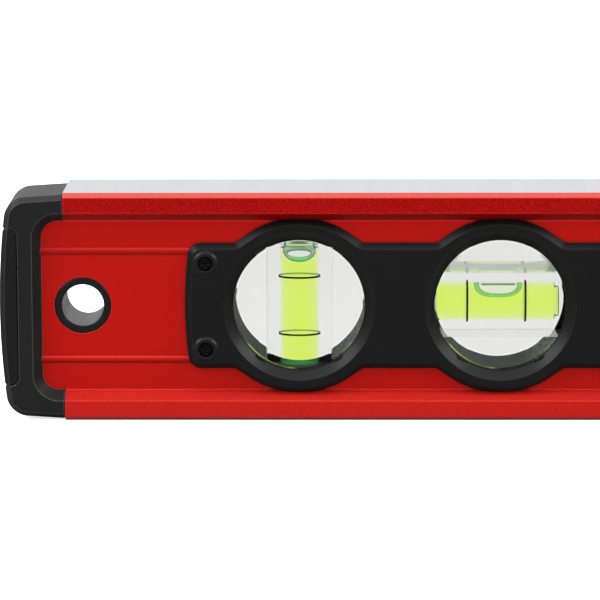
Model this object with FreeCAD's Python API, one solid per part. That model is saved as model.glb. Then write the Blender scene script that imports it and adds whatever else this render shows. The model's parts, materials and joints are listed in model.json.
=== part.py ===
import FreeCAD, Part
import math
import os

# A nine-inch torpedo spirit level: a hollow-web I-section beam with milled working faces, three
# round windows that each hold an acrylic block vial, two screwed covers, a hanging bush, and two
# end caps with rubber bumpers.
#
# Frame: X runs along the level, Y from its front to its back, Z up. The origin is the middle of
# the bottom working face. Every piece is built about the centre of the level, and lifted by half
# the height when it is exported.

# Driving dimensions, in millimetres.
LENGTH = 228.6  # over the two bumpers
HEIGHT = 52.6  # between the two milled working faces
WINDOW_PITCH = 46.0  # between neighbouring window centres
CLEARANCE = 0.05  # between pieces that slip together

# The beam: an I-section whose web is a box.
FLANGE_WIDTH = 24.0
FLANGE_INNER_EDGE = 21.67  # height of the flange's inner front edge above the centre
EDGE_CHAMFER = 1.1
WEB_WIDTH = 17.5
WEB_EDGE = 19.6  # height at which the flange's slope meets the web
WALL = 2.0
FLANGE_END = 99.6  # the flanges are cut back here, and the caps take over
WEB_END = 108.0
WINDOW_BORE = 18.4
BEAD_HEIGHT_ABOVE_CENTRE = 12.55
BEAD_WIDTH = 1.6
BEAD_PROUD = 0.35

# The covers, one on each side of the web.
COVER_FACE = 10.7  # distance of the cover's face from the level's middle plane
COVER_BEVEL = 1.35
BAR_HALF_HEIGHT = 14.5
BAR_HALF_LENGTH = 72.1
BAR_END_BOW = 0.7
BAR_CORNER = 3.0
RING_RADIUS = 20.25  # the rings are trimmed to run along the flanges' slopes
COVER_TRIM = 0.1  # between a ring and the flange's slope above it
SHOULDER_SLOPE = 35.0  # degrees, of the straight shoulder that runs from the bar up to a ring
SHOULDER_FILLET = 2.0
OPENING_RADIUS = 15.0
OPENING_MOUTH = 17.15
OPENING_DEPTH = 8.45  # distance of the opening's narrow edge from the middle plane
SPIGOT_RADIUS = 18.3

# The four screws that draw the covers together.
SCREW_X = 67.3
SCREW_Z = 9.95
SCREW_SHANK = 1.1
SCREW_HEAD = 1.55
SCREW_HEAD_TOP = 10.8
SCREW_HEAD_SEAT = 9.6
SCREW_TIP = 4.0
SCREW_POINT = 1.2
CROSS_RECESS_WIDTH = 0.5
CROSS_RECESS_SPAN = 1.9
CROSS_RECESS_DEPTH = 0.45
HEAD_BORE = 1.75
COLLAR_RADIUS = 2.9  # of the low tapered collar that stands round each screw head
COLLAR_TOP_RADIUS = 2.4
COLLAR_TOP = 11.15
BOSS_RADIUS = 2.65
BOSS_MEETING = 5.5  # where the front boss and the rear post meet, in front of the middle plane

# The hanging bush, in two halves.
BUSH_X = -95.45
BUSH_BORE = 4.8
BUSH_BODY = 5.65
BUSH_FLANGE = 6.45
BUSH_SEAT_DEPTH = 0.6
BUSH_PROUD = 0.15
BUSH_MOUTH_ROUND = 0.35

# The end caps and their rubber bumpers.
CAP_HALF_HEIGHT = 25.9  # beside the flanges, and a little less at the tip
CAP_CORNER = 5.2
CAP_END_BOW = 1.8
CAP_TIP_HALF_HEIGHT = 25.0
CAP_BEVEL = 1.15
CAP_REAR_BEVEL = 0.7
CAP_REAR_BEVEL_DEPTH = 4.5
CAP_GAP = 0.2  # between a cap and the flanges' ends
CAP_INNER_EDGE = 104.8
CAP_INNER_CORNER = 3.9
CAP_INNER_BEVEL = 2.0
CAP_TONGUE_END = 102.5
BUMPER_SEAM = 110.2
BUMPER_HALF_HEIGHT = 18.1
BUMPER_CORNER = 1.8
BUMPER_GAP = 0.15
BUMPER_EDGE_ROUND = 0.45
BUMPER_NOTCH = 0.4  # depth of the grooves across the end, where rubber and cap meet
SPINE_END = 112.2
SPINE_HALF_WIDTH = 7.5
SPINE_HALF_HEIGHT = 14.5

# The vials, the sleeves that hold them and the clear lenses over them.
SLEEVE_HALF_WIDTH = 7.7
BLOCK_WIDTH = 15.2
BLOCK_LENGTH = 31.3
BLOCK_EDGE = 0.2
CHAMBER_RADIUS = 4.45
CHAMBER_CLOSED_END = 14.65
CHAMBER_CORNER = 0.9
CHAMBER_PLUG_END = -13.55
PLUG_COUNTERBORE = 4.95
PLUG_RIM_END = -12.6
PLUG_RECESS_RADIUS = 3.6
LINE_RADIUS = 4.82
LINE_WIDTH = 0.42
LINE_CENTRE = 0.8
LINE_OFFSET = 6.67
LENS_RADIUS = 18.1
LENS_STEP_RADIUS = 14.85
LENS_STEP = 0.35
LENS_BEVEL = 0.3

# The bubbles, and the room kept for their travel in the fluid's solid.
LONG_BUBBLE = (5.55, 2.85, 1.7)
LONG_BUBBLE_REST = 0.4  # towards the vial's closed end
ROUND_BUBBLE_RADIUS = 3.75
ROUND_BUBBLE_HALF_HEIGHT = 2.2
BUBBLE_GAP = 0.05
CHANNEL_CLEARANCE = 0.1

WEB_FACE = WEB_WIDTH / 2
FLANGE_FACE = FLANGE_WIDTH / 2
WINDOWS = {"plumb": -WINDOW_PITCH, "level": 0.0, "angle": WINDOW_PITCH}
TILTS = {"plumb": 90.0, "level": 0.0, "angle": 45.0}  # of a vial's closed end, downwards
TURNS = {"plumb": 0.0, "level": 180.0, "angle": 0.0}  # about the upright axis
ORIGIN = FreeCAD.Vector(0, 0, 0)
X_AXIS = FreeCAD.Vector(1, 0, 0)
Y_AXIS = FreeCAD.Vector(0, 1, 0)
Z_AXIS = FreeCAD.Vector(0, 0, 1)
THROUGH = FLANGE_WIDTH + 2.0  # long enough to cut right through the level


def point(x, y, z):
    return FreeCAD.Vector(x, y, z)


def box(x, y, z):
    """A box from three (low, high) pairs."""
    low = point(x[0], y[0], z[0])
    return Part.makeBox(x[1] - x[0], y[1] - y[0], z[1] - z[0], low)


def rod_x(radius, x, y=0.0, z=0.0):
    return Part.makeCylinder(radius, x[1] - x[0], point(x[0], y, z), X_AXIS)


def rod_y(radius, y, x=0.0, z=0.0):
    return Part.makeCylinder(radius, y[1] - y[0], point(x, y[0], z), Y_AXIS)


def cone_y(radii, y, x=0.0, z=0.0):
    return Part.makeCone(radii[0], radii[1], y[1] - y[0], point(x, y[0], z), Y_AXIS)


def mirror_x(shape):
    return shape.mirror(ORIGIN, X_AXIS)


def mirror_y(shape):
    return shape.mirror(ORIGIN, Y_AXIS)


def fuse(shapes):
    return shapes[0].fuse(shapes[1:]).removeSplitter()


def prism_x(corners, x):
    """A solid with the given (y, z) corners, extruded over the x pair."""
    outline = [point(x[0], y, z) for y, z in corners]
    face = Part.Face(Part.makePolygon(outline + outline[:1]))
    return face.extrude(point(x[1] - x[0], 0, 0))


def four_ways(corners):
    """Corners of a section given for +y, +z, repeated in the other three quarters."""
    right = corners + [(y, -z) for y, z in reversed(corners)]
    return right + [(-y, z) for y, z in reversed(right)]


def beads(extra, length):
    """The rounded beads along both faces of the web, grown by extra for a clearance cut."""
    half_width = BEAD_WIDTH / 2
    radius = (half_width**2 + BEAD_PROUD**2) / (2 * BEAD_PROUD)
    axis_y = WEB_FACE + BEAD_PROUD - radius
    rods = []
    for y in (-axis_y, axis_y):
        for z in (-BEAD_HEIGHT_ABOVE_CENTRE, BEAD_HEIGHT_ABOVE_CENTRE):
            rods.append(rod_x(radius + extra, (-length, length), y, z))
    return rods


def screw_places():
    return [(x, z) for x in (-SCREW_X, SCREW_X) for z in (-SCREW_Z, SCREW_Z)]


def make_beam():
    top = HEIGHT / 2
    flanges = prism_x(
        four_ways(
            [
                (FLANGE_FACE - EDGE_CHAMFER, top),
                (FLANGE_FACE, top - EDGE_CHAMFER),
                (FLANGE_FACE, FLANGE_INNER_EDGE),
                (WEB_FACE, WEB_EDGE),
            ]
        ),
        (-FLANGE_END, FLANGE_END),
    )
    web = box((-WEB_END, WEB_END), (-WEB_FACE, WEB_FACE), (-WEB_EDGE, WEB_EDGE))
    beam = fuse([flanges, web] + beads(0.0, WEB_END))
    cavity_y = WEB_FACE - WALL
    cavity_z = WEB_EDGE - WALL
    ends = (-WEB_END - 1, WEB_END + 1)
    cuts = [box(ends, (-cavity_y, cavity_y), (-cavity_z, cavity_z))]
    through = (-THROUGH / 2, THROUGH / 2)
    for x in WINDOWS.values():
        cuts.append(rod_y(WINDOW_BORE, through, x))
    for x, z in screw_places():
        cuts.append(rod_y(BOSS_RADIUS + CLEARANCE, through, x, z))
    cuts.append(rod_y(BUSH_BODY + CLEARANCE, through, BUSH_X))
    seat = WEB_FACE - BUSH_SEAT_DEPTH
    for y in ((-THROUGH / 2, -seat), (seat, THROUGH / 2)):
        cuts.append(rod_y(BUSH_FLANGE + CLEARANCE, y, BUSH_X))
    return beam.cut(cuts)


def arc(start, middle, end):
    return Part.Arc(start, middle, end).toShape()


def shoulder(x, inset):
    """The covers' outline over one ring, from the bar on its left to the bar on its right."""
    height = BAR_HALF_HEIGHT - inset
    ring = RING_RADIUS - inset
    fillet = SHOULDER_FILLET + inset
    slope = math.radians(SHOULDER_SLOPE)
    tangent_x = ring * math.sin(slope)
    tangent_z = ring * math.cos(slope)
    foot = tangent_x + (tangent_z - height) / math.tan(slope)
    setback = fillet * math.tan(slope / 2)
    rise = [
        (foot + setback, height),
        (
            foot + setback - fillet * math.sin(slope / 2),
            height + fillet * (1 - math.cos(slope / 2)),
        ),
        (foot - setback * math.cos(slope), height + setback * math.sin(slope)),
        (tangent_x, tangent_z),
    ]
    left = [point(x - across, 0, up) for across, up in rise]
    right = [point(x + across, 0, up) for across, up in rise]
    edges = [
        arc(left[0], left[1], left[2]),
        Part.makeLine(left[2], left[3]),
        arc(left[3], point(x, 0, ring), right[3]),
        Part.makeLine(right[3], right[2]),
        arc(right[2], right[1], right[0]),
    ]
    return left[0], edges, right[0]


def cover_outline(inset, y):
    """The covers' outline at depth y, moved inwards by inset."""
    height = BAR_HALF_HEIGHT - inset
    corner = BAR_CORNER - inset
    tip = BAR_HALF_LENGTH - inset
    side = tip - BAR_END_BOW
    low = height - corner
    diagonal = corner * math.sqrt(0.5)
    start = point(corner - side, 0, height)
    middle = point(corner - side - diagonal, 0, low + diagonal)
    edges = [arc(point(-side, 0, low), middle, start)]
    for x in sorted(WINDOWS.values()):
        foot, ring_edges, far_foot = shoulder(x, inset)
        edges.append(Part.makeLine(start, foot))
        edges.extend(ring_edges)
        start = far_foot
    corner_start = point(side - corner, 0, height)
    middle = point(side - corner + diagonal, 0, low + diagonal)
    edges.append(Part.makeLine(start, corner_start))
    edges.append(arc(corner_start, middle, point(side, 0, low)))
    edges.append(arc(point(side, 0, low), point(tip, 0, 0), point(side, 0, -low)))
    half_turn = []
    for edge in edges:
        turned = edge.copy()
        turned.rotate(ORIGIN, Y_AXIS, 180)
        half_turn.append(turned)
    wire = Part.Wire(edges + half_turn)
    wire.translate(point(0, y, 0))
    return wire


def edges_at(shape, test):
    """The edges of which every vertex and the middle pass the test."""
    found = []
    for edge in shape.Edges:
        middle = edge.valueAt((edge.FirstParameter + edge.LastParameter) / 2)
        if all(test(p) for p in [v.Point for v in edge.Vertexes] + [middle]):
            found.append(edge)
    return found


def near(a, b):
    return abs(a - b) < 0.01


def make_cover_blank():
    """The front cover before its openings, lying between the web and the cover's face."""
    shoulder_y = COVER_BEVEL - COVER_FACE
    base = Part.Face(cover_outline(0.0, shoulder_y))
    plate = base.extrude(point(0, -WEB_FACE - shoulder_y, 0))
    bevel = Part.makeLoft(
        [cover_outline(0.0, shoulder_y), cover_outline(COVER_BEVEL, -COVER_FACE)],
        True,
        True,
    )
    slope = (FLANGE_INNER_EDGE - WEB_EDGE) / (FLANGE_FACE - WEB_FACE)
    inside = WEB_FACE - 1
    inner_edge = WEB_EDGE - slope - COVER_TRIM
    outer_edge = FLANGE_INNER_EDGE - COVER_TRIM
    ends = (-FLANGE_END, FLANGE_END)
    trims = []
    for side in (-1, 1):
        corners = [(inside, inner_edge), (FLANGE_FACE, outer_edge), (FLANGE_FACE, HEIGHT)]
        corners.append((inside, HEIGHT))
        trims.append(prism_x([(-y, side * z) for y, z in corners], ends))
    return fuse([plate, bevel]).cut(trims)


def make_front_cover():
    back = -WEB_FACE
    additions = []
    cuts = []
    for x in WINDOWS.values():
        additions.append(rod_y(SPIGOT_RADIUS, (back, -OPENING_DEPTH), x))
        mouth = (-COVER_FACE, -OPENING_DEPTH)
        cuts.append(cone_y((OPENING_MOUTH, OPENING_RADIUS), mouth, x))
    hole = SCREW_SHANK + 4 * CLEARANCE
    for x, z in screw_places():
        collar = (-COLLAR_TOP, -COVER_FACE)
        additions.append(rod_y(BOSS_RADIUS, (back, -BOSS_MEETING), x, z))
        additions.append(cone_y((COLLAR_TOP_RADIUS, COLLAR_RADIUS), collar, x, z))
        cuts.append(rod_y(HEAD_BORE, (-COLLAR_TOP, -SCREW_HEAD_SEAT), x, z))
        cuts.append(rod_y(hole, (-COVER_FACE, 0), x, z))
    cover = fuse([make_cover_blank()] + additions)
    return cover.cut(cuts + beads(CLEARANCE, BAR_HALF_LENGTH + 1))


def make_rear_cover():
    additions = []
    cuts = []
    for x in WINDOWS.values():
        additions.append(rod_y(SPIGOT_RADIUS, (OPENING_DEPTH, WEB_FACE), x))
        mouth = (OPENING_DEPTH, COVER_FACE)
        cuts.append(cone_y((OPENING_RADIUS, OPENING_MOUTH), mouth, x))
    post_end = -BOSS_MEETING + CLEARANCE
    for x, z in screw_places():
        additions.append(rod_y(BOSS_RADIUS, (post_end, WEB_FACE), x, z))
        cuts.append(rod_y(SCREW_SHANK + CLEARANCE, (post_end, SCREW_TIP + 1), x, z))
    cover = fuse([mirror_y(make_cover_blank())] + additions)
    return cover.cut(cuts + beads(CLEARANCE, BAR_HALF_LENGTH + 1))


def make_screw(x, z):
    top = -SCREW_HEAD_TOP
    head = rod_y(SCREW_HEAD, (top, -SCREW_HEAD_SEAT), x, z)
    rim = edges_at(head, lambda p: near(p.y, top))
    head = head.makeChamfer(SCREW_HEAD / 8, [e for e in rim if e.Closed])
    shank = rod_y(SCREW_SHANK, (-SCREW_HEAD_SEAT, SCREW_TIP - SCREW_POINT), x, z)
    tip = (SCREW_TIP - SCREW_POINT, SCREW_TIP)
    screw = fuse([head, shank, cone_y((SCREW_SHANK, SCREW_SHANK / 4), tip, x, z)])
    half = CROSS_RECESS_SPAN / 2
    slot = CROSS_RECESS_WIDTH / 2
    depth = (top, top + CROSS_RECESS_DEPTH)
    return screw.cut(
        [
            box((x - half, x + half), depth, (z - slot, z + slot)),
            box((x - slot, x + slot), depth, (z - half, z + half)),
        ]
    )


def make_cover_screws():
    return Part.makeCompound([make_screw(x, z) for x, z in screw_places()])


def make_bush_front():
    face = -WEB_FACE - BUSH_PROUD
    flange = rod_y(BUSH_FLANGE, (face, -WEB_FACE + BUSH_SEAT_DEPTH), BUSH_X)
    bush = fuse([flange, rod_y(BUSH_BODY, (face, 0), BUSH_X)])
    bush = bush.cut(rod_y(BUSH_BORE, (face, 0), BUSH_X))
    mouth = [e for e in edges_at(bush, lambda p: near(p.y, face)) if e.Closed]
    return bush.makeFillet(BUSH_MOUTH_ROUND, mouth)


def cap_outline(inset, y):
    """The right-hand end's outline at depth y, moved inwards by inset."""
    start = FLANGE_END + CAP_GAP
    tip = LENGTH / 2
    half = CAP_TIP_HALF_HEIGHT
    end_radius = (half**2 + CAP_END_BOW**2) / (2 * CAP_END_BOW)
    end_centre = tip - end_radius
    taper = math.atan2(CAP_HALF_HEIGHT - half, tip - start)
    # The corner's centre lies one corner radius inside both the top edge and the end's arc.
    line_x = start - end_centre
    line_z = CAP_HALF_HEIGHT - CAP_CORNER / math.cos(taper)
    along = line_x * math.cos(taper) - line_z * math.sin(taper)
    reach = (end_radius - CAP_CORNER) ** 2 - line_x**2 - line_z**2
    run = math.sqrt(along**2 + reach) - along
    corner_x = start + run * math.cos(taper)
    corner_z = line_z - run * math.sin(taper)
    first = math.pi / 2 - taper
    last = math.atan2(corner_z, corner_x - end_centre)

    def on_corner(angle):
        radius = CAP_CORNER - inset
        return (corner_x + radius * math.cos(angle), corner_z + radius * math.sin(angle))

    upper = [
        (start, CAP_HALF_HEIGHT - inset / math.cos(taper)),
        on_corner(first),
        on_corner((first + last) / 2),
        on_corner(last),
    ]
    top = [point(x, y, z) for x, z in upper]
    low = [point(x, y, -z) for x, z in upper]
    return Part.Wire(
        [
            Part.makeLine(top[0], top[1]),
            arc(top[1], top[2], top[3]),
            arc(top[3], point(tip - inset, y, 0), low[3]),
            arc(low[3], low[2], low[1]),
            Part.makeLine(low[1], low[0]),
            Part.makeLine(low[0], top[0]),
        ]
    )


def cap_envelope():
    """The outside of the right-hand end: cap and bumper together."""
    front = -FLANGE_FACE + CAP_BEVEL
    rear = FLANGE_FACE - CAP_REAR_BEVEL_DEPTH
    body = Part.Face(cap_outline(0.0, front)).extrude(point(0, rear - front, 0))
    front_outlines = [cap_outline(CAP_BEVEL, -FLANGE_FACE), cap_outline(0.0, front)]
    rear_outlines = [cap_outline(0.0, rear), cap_outline(CAP_REAR_BEVEL, FLANGE_FACE)]
    bevels = [Part.makeLoft(pair, True, True) for pair in (front_outlines, rear_outlines)]
    return fuse([body] + bevels)


def end_notches():
    """The grooves across the end where rubber and cap meet."""
    notch_x = LENGTH / 2 - CAP_END_BOW * (BUMPER_HALF_HEIGHT / CAP_TIP_HALF_HEIGHT) ** 2
    notches = []
    for side in (-1, 1):
        apex = point(notch_x - BUMPER_NOTCH, -THROUGH, side * BUMPER_HALF_HEIGHT)
        mouth = Part.makePolygon([apex, apex + point(2, 0, 2), apex + point(2, 0, -2), apex])
        notches.append(Part.Face(mouth).extrude(point(0, 2 * THROUGH, 0)))
    return notches


def rounded_wire(y, x, half_height, radius):
    """A rectangle with round corners at depth y, over the x pair."""
    solid = box(x, (y, y + 1), (-half_height, half_height))
    uprights = edges_at(solid, lambda p: near(p.x, x[1]) and abs(p.z) > half_height / 2)
    solid = solid.makeFillet(radius, [e for e in uprights if near(e.Length, 1)])
    return edges_to_wire(solid, y)


def edges_to_wire(solid, y):
    for face in solid.Faces:
        if near(face.CenterOfMass.y, y) and abs(face.normalAt(0, 0).y) > 0.99:
            return face.OuterWire
    raise ValueError("no face at that depth")


def web_window(side):
    """What is cut out of a cap so that the web shows, with sloping sides like the flanges'."""
    inside = FLANGE_END - 5
    at_web = rounded_wire(
        side * WEB_FACE, (inside, CAP_INNER_EDGE), WEB_EDGE, CAP_INNER_CORNER
    )
    at_face = rounded_wire(
        side * FLANGE_FACE,
        (inside, CAP_INNER_EDGE + CAP_INNER_BEVEL),
        FLANGE_INNER_EDGE,
        CAP_INNER_CORNER + CAP_INNER_BEVEL,
    )
    return Part.makeLoft([at_web, at_face], True, True)


def bumper_zone(extra):
    zone = box(
        (BUMPER_SEAM - extra, LENGTH),
        (-THROUGH, THROUGH),
        (-BUMPER_HALF_HEIGHT - extra, BUMPER_HALF_HEIGHT + extra),
    )
    corners = edges_at(zone, lambda p: near(p.x, BUMPER_SEAM - extra))
    uprights = [e for e in corners if near(e.Length, 2 * THROUGH)]
    return zone.makeFillet(BUMPER_CORNER + extra, uprights)


def spine(extra):
    """The rib of the cap that the bumper wraps."""
    return box(
        (BUMPER_SEAM - 1, SPINE_END + extra),
        (-SPINE_HALF_WIDTH - extra, SPINE_HALF_WIDTH + extra),
        (-SPINE_HALF_HEIGHT - extra, SPINE_HALF_HEIGHT + extra),
    )


def make_cap_right():
    cap = cap_envelope().cut(bumper_zone(BUMPER_GAP))
    slack = CLEARANCE
    web = box(
        (FLANGE_END - 1, WEB_END + slack),
        (-WEB_FACE - slack, WEB_FACE + slack),
        (-WEB_EDGE - slack, WEB_EDGE + slack),
    )
    cap = cap.cut([web, web_window(-1), web_window(1)] + beads(slack, WEB_END + slack))
    tongue_y = WEB_FACE - WALL - slack
    tongue_z = WEB_EDGE - WALL - slack
    tongue = box(
        (CAP_TONGUE_END, WEB_END + 1), (-tongue_y, tongue_y), (-tongue_z, tongue_z)
    )
    return fuse([cap.cut(end_notches()), spine(0.0), tongue])


def make_bumper_right():
    bumper = cap_envelope().common(bumper_zone(0.0))
    seam = edges_at(
        bumper,
        lambda p: near(p.x, BUMPER_SEAM) and near(abs(p.y), FLANGE_FACE),
    )
    bumper = bumper.makeFillet(BUMPER_EDGE_ROUND, seam)
    return bumper.cut([spine(CLEARANCE)] + end_notches())


def make_vial_block():
    half = BLOCK_WIDTH / 2
    half_length = BLOCK_LENGTH / 2
    block = box((-half_length, half_length), (-half, half), (-half, half))
    block = block.makeChamfer(BLOCK_EDGE, block.Edges)
    chamber = rod_x(CHAMBER_RADIUS, (CHAMBER_PLUG_END - 1, CHAMBER_CLOSED_END))
    bottom = edges_at(chamber, lambda p: near(p.x, CHAMBER_CLOSED_END))
    chamber = chamber.makeFillet(CHAMBER_CORNER, [e for e in bottom if e.Closed])
    cuts = [chamber, rod_x(PLUG_COUNTERBORE, (-half_length - 1, CHAMBER_PLUG_END))]
    groove = LINE_WIDTH / 2 + CLEARANCE / 2
    for x in (LINE_CENTRE - LINE_OFFSET, LINE_CENTRE + LINE_OFFSET):
        cuts.append(rod_x(LINE_RADIUS + CLEARANCE / 2, (x - groove, x + groove)))
    return block.cut(cuts)


def make_vial_plug():
    """The chamber's plug, with a rim that stands into the chamber around a shallow recess."""
    face = CHAMBER_PLUG_END - CLEARANCE
    head = rod_x(PLUG_COUNTERBORE - CLEARANCE, (-BLOCK_LENGTH / 2, face))
    rim = rod_x(CHAMBER_RADIUS - CLEARANCE, (face, PLUG_RIM_END))
    recess = rod_x(PLUG_RECESS_RADIUS, (face, 0))
    return fuse([head, rim]).cut(recess)


def make_vial_lines():
    rings = []
    for x in (LINE_CENTRE - LINE_OFFSET, LINE_CENTRE + LINE_OFFSET):
        span = (x - LINE_WIDTH / 2, x + LINE_WIDTH / 2)
        ring = rod_x(LINE_RADIUS, span).cut(rod_x(CHAMBER_RADIUS, span))
        rings.append(ring)
    return Part.makeCompound(rings)


def fluid_blank():
    """All of the chamber's fluid, with the part that fills the plug's recess."""
    start = PLUG_RIM_END + CLEARANCE
    end = CHAMBER_CLOSED_END - CLEARANCE
    body = rod_x(CHAMBER_RADIUS - CLEARANCE, (start, end))
    bottom = edges_at(body, lambda p: near(p.x, end))
    body = body.makeFillet(CHAMBER_CORNER, [e for e in bottom if e.Closed])
    tip = rod_x(PLUG_RECESS_RADIUS - CLEARANCE, (CHAMBER_PLUG_END, start))
    return fuse([body, tip])


def long_bubble_height():
    return CHAMBER_RADIUS - CLEARANCE - BUBBLE_GAP - LONG_BUBBLE[2]


def make_long_bubble():
    """The level vial's bubble: long and low, against the top of the chamber."""
    scale = FreeCAD.Matrix()
    scale.scale(*LONG_BUBBLE)
    bubble = Part.makeSphere(1.0).transformGeometry(scale)
    bubble.translate(point(LONG_BUBBLE_REST, 0, long_bubble_height()))
    return bubble


def make_long_fluid():
    """The level vial's fluid, open along the top where the bubble runs."""
    half_width = LONG_BUBBLE[1] + CHANNEL_CLEARANCE
    low = long_bubble_height() - LONG_BUBBLE[2] - CHANNEL_CLEARANCE
    channel = box((-LENGTH, LENGTH), (-half_width, half_width), (low, CHAMBER_RADIUS))
    return fluid_blank().cut(channel)


def make_round_bubble():
    """The bubble of an upright or sloping vial: a low dome under the plugged end."""
    scale = FreeCAD.Matrix()
    scale.scale(ROUND_BUBBLE_HALF_HEIGHT, ROUND_BUBBLE_RADIUS, ROUND_BUBBLE_RADIUS)
    bubble = Part.makeSphere(1.0).transformGeometry(scale)
    x = CHAMBER_PLUG_END + BUBBLE_GAP + ROUND_BUBBLE_HALF_HEIGHT
    bubble.translate(point(x, 0, 0))
    return bubble


def make_round_fluid():
    """The fluid of an upright or sloping vial, open along its middle where the bubble runs."""
    channel = rod_x(ROUND_BUBBLE_RADIUS + CHANNEL_CLEARANCE, (-LENGTH, LENGTH))
    return fluid_blank().cut(channel)


def make_sleeve():
    """A vial's holder: a tube across the level, notched for the ends of the block."""
    depth = (-SLEEVE_HALF_WIDTH, SLEEVE_HALF_WIDTH)
    tube = rod_y(SPIGOT_RADIUS, depth)
    notch_x = BLOCK_LENGTH / 2 + CLEARANCE
    notch_z = BLOCK_WIDTH / 2 + CLEARANCE
    notch = box((-notch_x, notch_x), depth, (-notch_z, notch_z))
    return tube.cut([rod_y(OPENING_RADIUS, depth), notch])


def make_front_lens():
    """A clear disc behind the cover's opening, with a low bevelled step that stands in it."""
    back = -SLEEVE_HALF_WIDTH
    face = -OPENING_DEPTH
    step = rod_y(LENS_STEP_RADIUS, (face - LENS_STEP, face))
    rim = edges_at(step, lambda p: near(p.y, face - LENS_STEP))
    step = step.makeChamfer(LENS_BEVEL, [e for e in rim if e.Closed])
    return fuse([rod_y(LENS_RADIUS, (face, back)), step])


def place_in_window(shape, name, tilt, turn):
    placed = shape.copy()
    placed.rotate(ORIGIN, Y_AXIS, tilt)
    placed.rotate(ORIGIN, Z_AXIS, turn)
    placed.translate(point(WINDOWS[name], 0, 0))
    return placed


def vial_nodes(name):
    tilt = TILTS[name]
    lies_flat = tilt == 0.0
    lens = make_front_lens()
    upright = {
        name + "_lens_front": lens,
        name + "_lens_rear": mirror_y(lens),
    }
    tilted = {
        name + "_sleeve": make_sleeve(),
        name + "_vial_block": make_vial_block(),
        name + "_vial_plug": make_vial_plug(),
        name + "_vial_lines": make_vial_lines(),
        name + "_vial_fluid": make_long_fluid() if lies_flat else make_round_fluid(),
        name + "_bubble": make_long_bubble() if lies_flat else make_round_bubble(),
    }
    nodes = {}
    for node, shape in upright.items():
        nodes[node] = place_in_window(shape, name, 0.0, 0.0)
    for node, shape in tilted.items():
        nodes[node] = place_in_window(shape, name, tilt, TURNS[name])
    return nodes


def main():
    cap = make_cap_right()
    bumper = make_bumper_right()
    bush = make_bush_front()
    nodes = {
        "beam": make_beam(),
        "front_cover": make_front_cover(),
        "rear_cover": make_rear_cover(),
        "cover_screws": make_cover_screws(),
        "hang_bush_front": bush,
        "hang_bush_rear": mirror_y(bush),
        "end_cap_right": cap,
        "end_cap_left": mirror_x(cap),
        "bumper_right": bumper,
        "bumper_left": mirror_x(bumper),
    }
    for name in WINDOWS:
        nodes.update(vial_nodes(name))
    os.makedirs("parts", exist_ok=True)
    for node, shape in nodes.items():
        shape.translate(point(0, 0, HEIGHT / 2))
        shape.exportStep("parts/" + node + ".step")


main()
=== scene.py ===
import json
import math

import bmesh
import bpy
from mathutils import Matrix, Vector


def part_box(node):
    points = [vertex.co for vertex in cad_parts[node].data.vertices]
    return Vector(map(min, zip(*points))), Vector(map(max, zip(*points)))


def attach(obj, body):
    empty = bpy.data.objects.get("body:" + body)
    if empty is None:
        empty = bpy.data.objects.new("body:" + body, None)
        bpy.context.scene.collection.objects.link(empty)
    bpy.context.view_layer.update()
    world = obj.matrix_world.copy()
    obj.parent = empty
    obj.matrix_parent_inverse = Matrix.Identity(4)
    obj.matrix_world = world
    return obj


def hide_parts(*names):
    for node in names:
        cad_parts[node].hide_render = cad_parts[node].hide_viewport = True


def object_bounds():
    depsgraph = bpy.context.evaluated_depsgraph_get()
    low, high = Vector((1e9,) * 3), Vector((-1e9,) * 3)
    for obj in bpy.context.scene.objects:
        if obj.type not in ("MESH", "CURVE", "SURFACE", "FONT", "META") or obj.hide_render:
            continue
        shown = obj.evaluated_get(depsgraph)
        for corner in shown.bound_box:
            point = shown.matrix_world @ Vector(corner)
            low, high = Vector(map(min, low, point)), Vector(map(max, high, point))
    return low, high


# The looks of a nine-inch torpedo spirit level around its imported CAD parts.
# Lengths are in metres, and a noise's scale is its number of cells per metre.

MM = 0.001
WINDOWS = ("plumb", "level", "angle")

# The camera, measured from the middle of the level. Its lens and sensor are in millimetres.
CAMERA_OFFSET = Vector((-0.0331, -0.8367, 0.1487))
CAMERA_YAW = math.radians(-0.878)  # from +Y towards +X
CAMERA_PITCH = math.radians(10.099)  # below the horizon
CAMERA_ROLL = math.radians(-0.163)
CAMERA_LENS = 220.9
CAMERA_SENSOR = 36.0
CAMERA_CLIP = (0.05, 50.0)

# The extrusion. Heights count from the middle of the level, both ways.
CHAMFER_HEIGHT = 1.0 * MM  # of the paler bevel along the edges of the milled faces, which has painted light and shade
MILLED_SKIN = 0.3 * MM  # a flat face this near the top or bottom is a milled one
WEB_ROOT = 19.5 * MM  # where the web meets the flange
ROOT_LIGHT = 0.3 * MM  # half the width of the line of light along that corner
WEB_PAINTED_LIGHT_FROM = 9.5 * MM  # the web is painted lighter from here up to the upper flange: painted light
BEAD_HEIGHT = 12.55 * MM  # of the round beads along the web
BEAD_ZONE = 1.2 * MM  # how far a bead reaches above and below that
WEB_REACH = 8.9 * MM  # up to here from the mid-plane, the skin has the web's tone
FLANGE_REACH = 9.6 * MM  # and from here outwards, the flange's

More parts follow.
